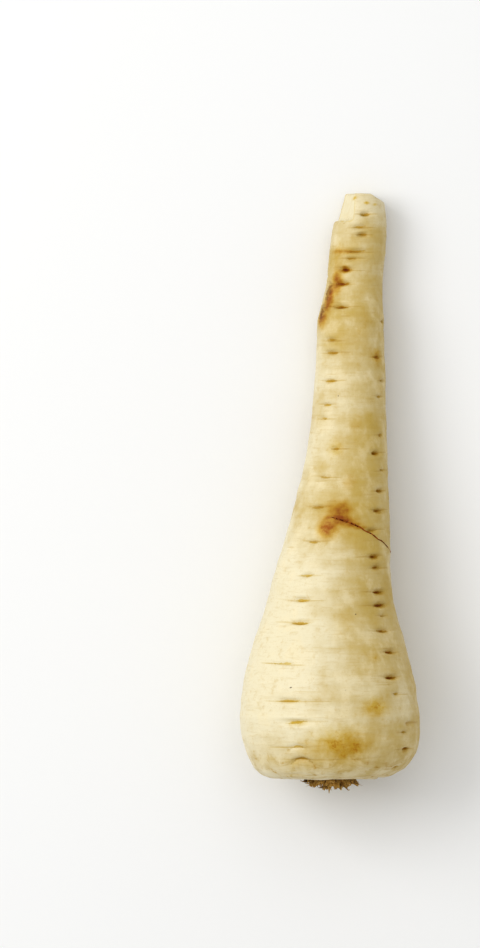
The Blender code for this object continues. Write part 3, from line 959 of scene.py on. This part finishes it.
def sheath_rings(number, draw, height):
    """The rings of one curled leaf base with a torn end: +Z is along it, +X outwards."""
    curl = draw(0.2, 0.8)
    bend = draw(-0.5, 1)
    sway = draw(-1, 1)
    spread = draw(0.65, 1.05)
    rings = []
    for row in range(SHEATH_ROWS):
        level = row / (SHEATH_ROWS - 1)
        width = STUB_WIDTH * (1 + (spread - 1) * level)
        wobble = 1 + 0.12 * noise.noise(Vector((level * 3, number * 2.3, 8.1)))
        ring = []
        for turn in turns(SHEATH_COLUMNS):
            across = -cos(turn)
            torn = 0.12 * noise.noise(Vector((across * 1.4, number * 3.1, 0.5))) - 0.1
            torn += 0.2 * noise.noise(Vector((across * 5, number * 1.7, 4.5)))
            ribs = 0.12 * sin(across * 13 + number)
            ribs += 0.3 * noise.noise(Vector((across * 3, level * 2, number * 7.3)))
            thick = STUB_THINNESS * STUB_WIDTH * (1 - 0.6 * level) * (1 + ribs)
            ring.append(Vector((
                thick * sin(turn) - curl * across * across * (0.3 + level) + bend * level * level,
                width * across * wobble + sway * level * level,
                height * (level * (1 + torn) - 0.5),
            )))
        rings.append(ring)
    return rings


def pad():
    """A low corky dome with a rough top."""
    shape = bmesh.new()
    level = shape.verts.layers.float.new("level")
    rings = []
    top = [(1 - i / PAD_RINGS, PAD_THICKNESS) for i in range(1, PAD_RINGS)]
    for share, up in [(0.8, 0), (0.93, 0.7), (1, 1.5), *top]:
        ring = []
        for turn in turns(PAD_SIDES):
            flat = Vector((cos(turn), sin(turn), 0)) * PAD_RADIUS * share
            rough = noise.fractal(flat / 1.7 + Vector((3, 1, 4)), 0.7, 2, 4)
            rise = PAD_ROUGHNESS * rough if up > 0 else 0
            vertex = shape.verts.new(flat * (1 + 0.03 * rough * (share > 0.9)) + Vector((0, 0, up + rise)))
            # Painted shade: the pad under the sheaths is kept dark, darkest where its rough top dips.
            vertex[level] = 0.25 + 0.35 * rough
            ring.append(vertex)
        rings.append(ring)
    bridge(shape, rings)
    shape.faces.new(rings[0])
    shape.faces.new(rings[-1])
    return shape


def sheaths():
    """Every torn leaf base, and the pairs of points that fibres fray out along."""
    shape = bmesh.new()
    level = shape.verts.layers.float.new("level")
    draw = random.Random(SEED).uniform
    detail = random.Random(SEED + 3).uniform
    tips = []
    for number in range(STUB_COUNT):
        share = sqrt((number + 0.5) / STUB_COUNT)
        height = draw(*STUB_HEIGHTS) * (1 - 0.2 * share)
        # The solid's stubs take a second number here, so it is drawn to keep the heights the same.
        draw(0, 1)
        lean = Matrix.Rotation(radians(10 + 34 * share), 4, "Y")
        out = Matrix.Translation(((PAD_RADIUS - STUB_INSET) * share, 0, height / 2 + STUB_LIFT))
        stand = Matrix.Rotation(number * GOLDEN_ANGLE, 4, "Z") @ out @ lean
        stack = sheath_rings(number, detail, height)
        shade = detail(-0.35, 0.15)
        rings = []
        # Painted shade: each sheath darkens towards its foot in the hollow, and takes a random tone of its
        # own.
        for row, points in enumerate(stack):
            ring = [shape.verts.new(stand @ point) for point in points]
            for vertex in ring:
                vertex[level] = min(1, 0.1 + row / 9) + shade
            rings.append(ring)
        bridge(shape, rings)
        shape.faces.new(rings[0])
        half = SHEATH_COLUMNS // 2
        for k in range(half):
            corners = [rings[-1][i % SHEATH_COLUMNS] for i in (k, k + 1, -k - 1, -k)]
            shape.faces.new(dict.fromkeys(corners))
        tips += [(stand @ stack[-4][k], stand @ stack[-1][k]) for k in range(0, half + 1, 4)]
    return shape, tips


def frayed_strands(tips, settings, draw):
    """(points, radius, shade) of the thin fibres that run on from the torn ends."""
    for start, end in tips:
        if draw(0, 1) > FRAYED_SHARE:
            continue
        ahead = (end - start).normalized()
        length = settings.fibre_length / MM * draw(0.25, 1)
        curl = Vector((draw(-1, 1), draw(-1, 1), draw(-0.8, 0.1))) * 0.7
        points = [start + ahead * (0.4 + length * t) + curl * length * t * t for t in np.linspace(0, 1, 7)]
        yield points, settings.fibre_radius / MM * draw(0.7, 1.5), draw(0.3, 0.9)


def tatter_strands(draw):
    """(points, radius, shade) of the torn strips."""
    for points in TATTERS:
        path = path_through(points)
        fine = [Vector(path(step)) for step in np.linspace(0, len(points) - 1, 15)]
        yield fine, TATTER_RADIUS, draw(0.4, 0.8)


def fringe_strands(draw):
    """(points, radius, shade) of the fringe."""
    for share in np.linspace(-1, 1, FRINGE_COUNT):
        across = FRINGE_MIDDLE + FRINGE_HALF_WIDTH * share
        tip = FRINGE_HEIGHT + FRINGE_BULGE * cos(0.5 * pi * share) + draw(-0.4, 0.2)
        up = draw(1, 4.2)
        sway = draw(-0.6, 1.2)
        points = [
            Vector((
                across * (0.82 + 0.18 * t) + sway * t * t,
                up * (0.8 + 0.2 * t),
                FRINGE_FOOT + (tip - FRINGE_FOOT) * t,
            ))
            for t in np.linspace(0, 1, 8)
        ]
        yield points, draw(0.45, 0.7), draw(0.3, 1)


def fibres(tips, settings):
    """Every loose strand of the tuft, as a tube that thins to a point."""
    shape = bmesh.new()
    level = shape.verts.layers.float.new("level")
    draw = random.Random(SEED + 4).uniform
    for strands in (frayed_strands(tips, settings, draw), tatter_strands(draw), fringe_strands(draw)):
        for points, radius, shade in strands:
            first = len(shape.verts)
            last = len(points) - 1
            add_tube(shape, points, [radius * (1.1 - i / last) for i in range(last + 1)])
            shape.verts.ensure_lookup_table()
            for vertex in shape.verts[first:]:
                vertex[level] = shade
    return shape


class PARSNIP_OT_leaf_bases(bpy.types.Operator):
    """Builds the tuft of dried leaf bases in the hollow of the crown"""

    bl_idname = "parsnip.leaf_bases"
    bl_label = "Leaf bases"

    def execute(self, context):
        settings = context.scene.parsnip_tuft
        material = tuft_material(settings)
        torn, tips = sheaths()
        shapes = {
            "leaf_base_pad": pad(),
            "leaf_base_sheaths": torn,
            "leaf_base_fibres": fibres(tips, settings),
        }
        for name, shape in shapes.items():
            shape.transform(facing_crown())
            bmesh.ops.recalc_face_normals(shape, faces=shape.faces)
            to_piece(name, to_mesh(name, shape), material, "leaf_bases")
        return {"FINISHED"}


class PARSNIP_OT_stage(bpy.types.Operator):
    """Adds the floor, the soft light and the camera that looks straight down"""

    bl_idname = "parsnip.stage"
    bl_label = "Stage"

    def execute(self, context):
        settings = context.scene.parsnip_stage
        scene = context.scene
        self.floor(settings)
        self.light("key", KEY_PLACE, KEY_SIZE, settings.key_power)
        self.light("top", TOP_PLACE, TOP_SIZE, settings.key_power * TOP_SHARE)
        scene.world = bpy.data.worlds.new("studio")
        scene.world.use_nodes = True
        background = scene.world.node_tree.nodes["Background"]
        background.inputs["Color"].default_value = (*WARM_WHITE, 1)
        background.inputs["Strength"].default_value = settings.fill_strength
        scene.view_settings.view_transform = "Standard"
        scene.view_settings.look = "Medium High Contrast"
        scene.camera = self.camera(settings)
        return {"FINISHED"}

    def floor(self, settings):
        shape = bmesh.new()
        bmesh.ops.create_grid(shape, x_segments=4, y_segments=4, size=FLOOR_HALF_SIZE)
        mesh = to_mesh("floor", shape)
        shader = Shader("floor", settings.floor)
        shader.cover(shader.noise(60, 2, 0.5) * 0.1, FLOOR_CLOUD)
        shader.dress({"Roughness": 0.7})
        mesh.materials.append(shader.material)
        floor = add_object("floor", mesh)

    def light(self, name, place, size, power):
        lamp = bpy.data.lights.new(name, "AREA")
        lamp.energy = power
        lamp.size = size
        lamp.color = WARM_WHITE
        made = add_object(name, lamp)
        made.location = place
        made.rotation_euler = (-Vector(place)).to_track_quat("-Z", "Y").to_euler()

    def camera(self, settings):
        lens = bpy.data.cameras.new("camera")
        lens.sensor_fit = "VERTICAL"
        lens.sensor_height = SENSOR_HEIGHT
        field = IMAGE_HEIGHT * MM_PER_PIXEL * MM
        lens.lens = SENSOR_HEIGHT * (settings.camera_height - OUTLINE_HEIGHT) / field
        made = add_object("camera", lens)
        made.location = (*VIEW_MIDDLE, settings.camera_height)
        return made


class PARSNIP_PT_parsnip(bpy.types.Panel):
    """The parsnip's pieces, with their sizes and colours"""

    bl_label = "Parsnip"
    bl_space_type = "VIEW_3D"
    bl_region_type = "UI"
    bl_category = "Parsnip"

    def draw(self, context):
        for operator, group_name, _ in STEPS:
            box = self.layout.box()
            box.operator(operator.bl_idname)
            group = getattr(context.scene, group_name)
            for name in group.__annotations__:
                box.prop(group, name)


# Each operator, with the name and the class of its settings.
STEPS = (
    (PARSNIP_OT_root, "parsnip_root", ParsnipRootSettings),
    (PARSNIP_OT_leaf_bases, "parsnip_tuft", ParsnipTuftSettings),
    (PARSNIP_OT_stage, "parsnip_stage", ParsnipStageSettings),
)


def register():
    for operator, group_name, group in STEPS:
        bpy.utils.register_class(group)
        bpy.utils.register_class(operator)
        setattr(bpy.types.Scene, group_name, bpy.props.PointerProperty(type=group))
    bpy.utils.register_class(PARSNIP_PT_parsnip)


def unregister():
    bpy.utils.unregister_class(PARSNIP_PT_parsnip)
    for operator, group_name, group in reversed(STEPS):
        delattr(bpy.types.Scene, group_name)
        bpy.utils.unregister_class(operator)
        bpy.utils.unregister_class(group)


def main():
    register()
    bpy.ops.parsnip.root()
    bpy.ops.parsnip.leaf_bases()
    bpy.ops.parsnip.stage()


if __name__ == "__main__":
    main()
